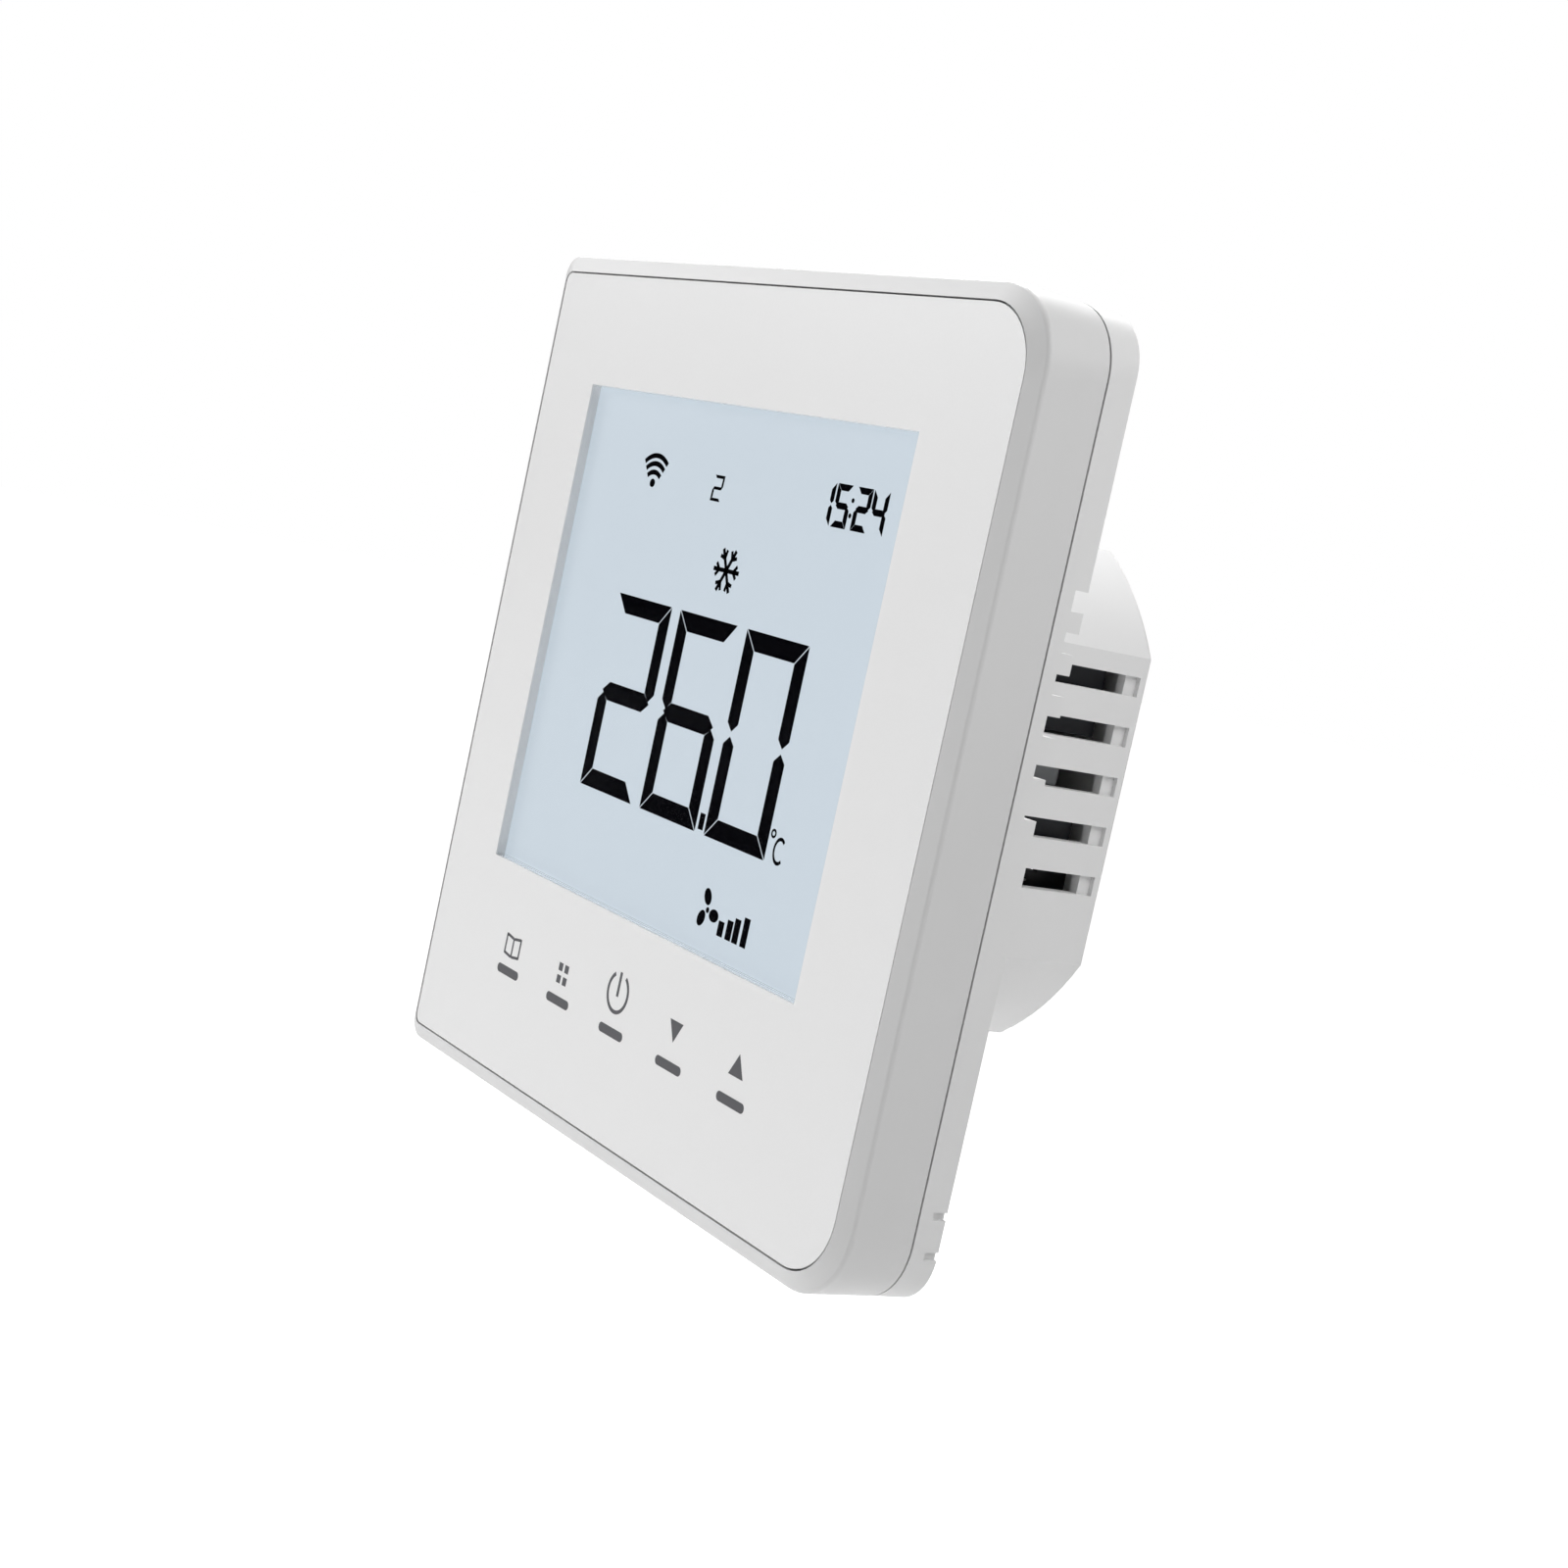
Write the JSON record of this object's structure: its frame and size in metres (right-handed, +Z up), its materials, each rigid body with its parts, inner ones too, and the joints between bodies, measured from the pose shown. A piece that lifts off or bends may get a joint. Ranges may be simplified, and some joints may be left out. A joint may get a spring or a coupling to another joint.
{
  "type": "wall thermostat",
  "caption": "Square flush-panel wall thermostat with a segment display and touch keys; snap-off display unit on a base plate with a vented in-wall power box and screw terminals.",
  "frame": {"origin": "centre of the two wall fixing slots, on the wall plane that the base plate's rim bears on", "axes": "+X to the right as seen from the room, +Y into the wall, +Z up; the display faces -Y"},
  "size_m": [0.086, 0.0349, 0.086],
  "materials": {
    "front_shell": "fine matt white ABS",
    "rear_shell": "fine matt white flame-retardant ABS",
    "panel_white": "smooth white printed acrylic",
    "window_clear": "clear polished acrylic",
    "tape": "matt black double-sided foam tape",
    "lcd": "pale blue-grey positive liquid crystal cell",
    "light_guide": "milky acrylic",
    "display_frame": "matt black",
    "zebra_rubber": "striped silicone",
    "lamp": "clear yellow-white",
    "board_green": "green solder mask",
    "screw_steel": "zinc plated",
    "spring_steel": "bright drawn wire",
    "chip_black": "moulded black epoxy",
    "module_board": "dark blue solder mask",
    "shield": "tinned can",
    "buzzer": "matt black",
    "cell": "bright steel",
    "sensor": "black epoxy bead",
    "connector_black": "black nylon",
    "pin_gold": "gold flash",
    "inner_cover": "matt white",
    "terminal_black": "black polyamide",
    "tinned_brass": "tinned",
    "terminal_steel": "yellow zinc plated",
    "cage_brass": "nickel plated",
    "relay_black": "black",
    "film_grey": "grey moulded case",
    "can_sleeve": "dark shrink sleeve",
    "fuse_body": "brown moulded case",
    "varistor_blue": "blue epoxy dipped",
    "bobbin": "black phenolic",
    "ferrite": "dark grey ferrite",
    "winding_tape": "yellow polyester tape over wire"
  },
  "bodies": {
    "wall_base": {"rear_housing": "rear_shell", "power_board": "board_green", "cover_screws": "screw_steel", "power_board_chips": "chip_black", "header_base": "connector_black", "header_pins": "pin_gold", "inner_cover": "inner_cover", "terminal_block": "terminal_black", "terminal_contacts": "tinned_brass", "relays": "relay_black", "film_capacitor": "film_grey", "electrolytic_capacitors": "can_sleeve", "fuse": "fuse_body", "varistor": "varistor_blue", "transformer_bobbin": "bobbin", "transformer_core": "ferrite", "transformer_winding": "winding_tape"},
    "display_unit": {"front_housing": "front_shell", "front_panel": "panel_white", "display_window": "window_clear", "panel_tape": "tape", "display_cell": "lcd", "light_guide": "light_guide", "display_frame": "display_frame", "display_connector": "zebra_rubber", "backlight_lamps": "lamp", "control_board": "board_green", "board_screws": "screw_steel", "touch_springs": "spring_steel", "microcontroller": "chip_black", "control_board_chips": "chip_black", "wireless_board": "module_board", "wireless_shield": "shield", "buzzer": "buzzer", "clock_cell": "cell", "cell_clip": "cell", "temperature_sensor": "sensor", "header_socket": "connector_black"},
    "screw_1": {"terminal_screw_1": "terminal_steel"},
    "cage_1": {"clamp_cage_1": "cage_brass"},
    "screw_2": {"terminal_screw_2": "terminal_steel"},
    "cage_2": {"clamp_cage_2": "cage_brass"},
    "screw_3": {"terminal_screw_3": "terminal_steel"},
    "cage_3": {"clamp_cage_3": "cage_brass"},
    "screw_4": {"terminal_screw_4": "terminal_steel"},
    "cage_4": {"clamp_cage_4": "cage_brass"},
    "screw_5": {"terminal_screw_5": "terminal_steel"},
    "cage_5": {"clamp_cage_5": "cage_brass"},
    "screw_6": {"terminal_screw_6": "terminal_steel"},
    "cage_6": {"clamp_cage_6": "cage_brass"},
    "screw_7": {"terminal_screw_7": "terminal_steel"},
    "cage_7": {"clamp_cage_7": "cage_brass"},
    "screw_8": {"terminal_screw_8": "terminal_steel"},
    "cage_8": {"clamp_cage_8": "cage_brass"}
  },
  "joints": [
    {"name": "display_unit_release", "type": "slide", "parent": "wall_base", "child": "display_unit", "axis": [0, -1, 0], "range_m": [0, 0.015]},
    {"name": "cage_1_lift", "type": "slide", "parent": "wall_base", "child": "cage_1", "axis": [0, 1, 0], "range_m": [0, 0.0023]},
    {"name": "screw_1_turn", "type": "hinge", "parent": "wall_base", "child": "screw_1", "pos_m": [-0.0175, 0.019, -0.0123], "axis": [0, -1, 0], "range_deg": [0, 1656.01]},
    {"name": "cage_2_lift", "type": "slide", "parent": "wall_base", "child": "cage_2", "axis": [0, 1, 0], "range_m": [0, 0.0023]},
    {"name": "screw_2_turn", "type": "hinge", "parent": "wall_base", "child": "screw_2", "pos_m": [-0.0125, 0.019, -0.0123], "axis": [0, -1, 0], "range_deg": [0, 1656.01]},
    {"name": "cage_3_lift", "type": "slide", "parent": "wall_base", "child": "cage_3", "axis": [0, 1, 0], "range_m": [0, 0.0023]},
    {"name": "screw_3_turn", "type": "hinge", "parent": "wall_base", "child": "screw_3", "pos_m": [-0.0075, 0.019, -0.0123], "axis": [0, -1, 0], "range_deg": [0, 1656.01]},
    {"name": "cage_4_lift", "type": "slide", "parent": "wall_base", "child": "cage_4", "axis": [0, 1, 0], "range_m": [0, 0.0023]},
    {"name": "screw_4_turn", "type": "hinge", "parent": "wall_base", "child": "screw_4", "pos_m": [-0.0025, 0.019, -0.0123], "axis": [0, -1, 0], "range_deg": [0, 1656.01]},
    {"name": "cage_5_lift", "type": "slide", "parent": "wall_base", "child": "cage_5", "axis": [0, 1, 0], "range_m": [0, 0.0023]},
    {"name": "screw_5_turn", "type": "hinge", "parent": "wall_base", "child": "screw_5", "pos_m": [0.0025, 0.019, -0.0123], "axis": [0, -1, 0], "range_deg": [0, 1656.01]},
    {"name": "cage_6_lift", "type": "slide", "parent": "wall_base", "child": "cage_6", "axis": [0, 1, 0], "range_m": [0, 0.0023]},
    {"name": "screw_6_turn", "type": "hinge", "parent": "wall_base", "child": "screw_6", "pos_m": [0.0075, 0.019, -0.0123], "axis": [0, -1, 0], "range_deg": [0, 1656.01]},
    {"name": "cage_7_lift", "type": "slide", "parent": "wall_base", "child": "cage_7", "axis": [0, 1, 0], "range_m": [0, 0.0023]},
    {"name": "screw_7_turn", "type": "hinge", "parent": "wall_base", "child": "screw_7", "pos_m": [0.0125, 0.019, -0.0123], "axis": [0, -1, 0], "range_deg": [0, 1656.01]},
    {"name": "cage_8_lift", "type": "slide", "parent": "wall_base", "child": "cage_8", "axis": [0, 1, 0], "range_m": [0, 0.0023]},
    {"name": "screw_8_turn", "type": "hinge", "parent": "wall_base", "child": "screw_8", "pos_m": [0.0175, 0.019, -0.0123], "axis": [0, -1, 0], "range_deg": [0, 1656.01]}
  ],
  "couplings": [
    {"joint": "screw_1_turn", "follows": "cage_1_lift", "rad_per_m": 12566},
    {"joint": "screw_2_turn", "follows": "cage_2_lift", "rad_per_m": 12566},
    {"joint": "screw_3_turn", "follows": "cage_3_lift", "rad_per_m": 12566},
    {"joint": "screw_4_turn", "follows": "cage_4_lift", "rad_per_m": 12566},
    {"joint": "screw_5_turn", "follows": "cage_5_lift", "rad_per_m": 12566},
    {"joint": "screw_6_turn", "follows": "cage_6_lift", "rad_per_m": 12566},
    {"joint": "screw_7_turn", "follows": "cage_7_lift", "rad_per_m": 12566},
    {"joint": "screw_8_turn", "follows": "cage_8_lift", "rad_per_m": 12566}
  ]
}
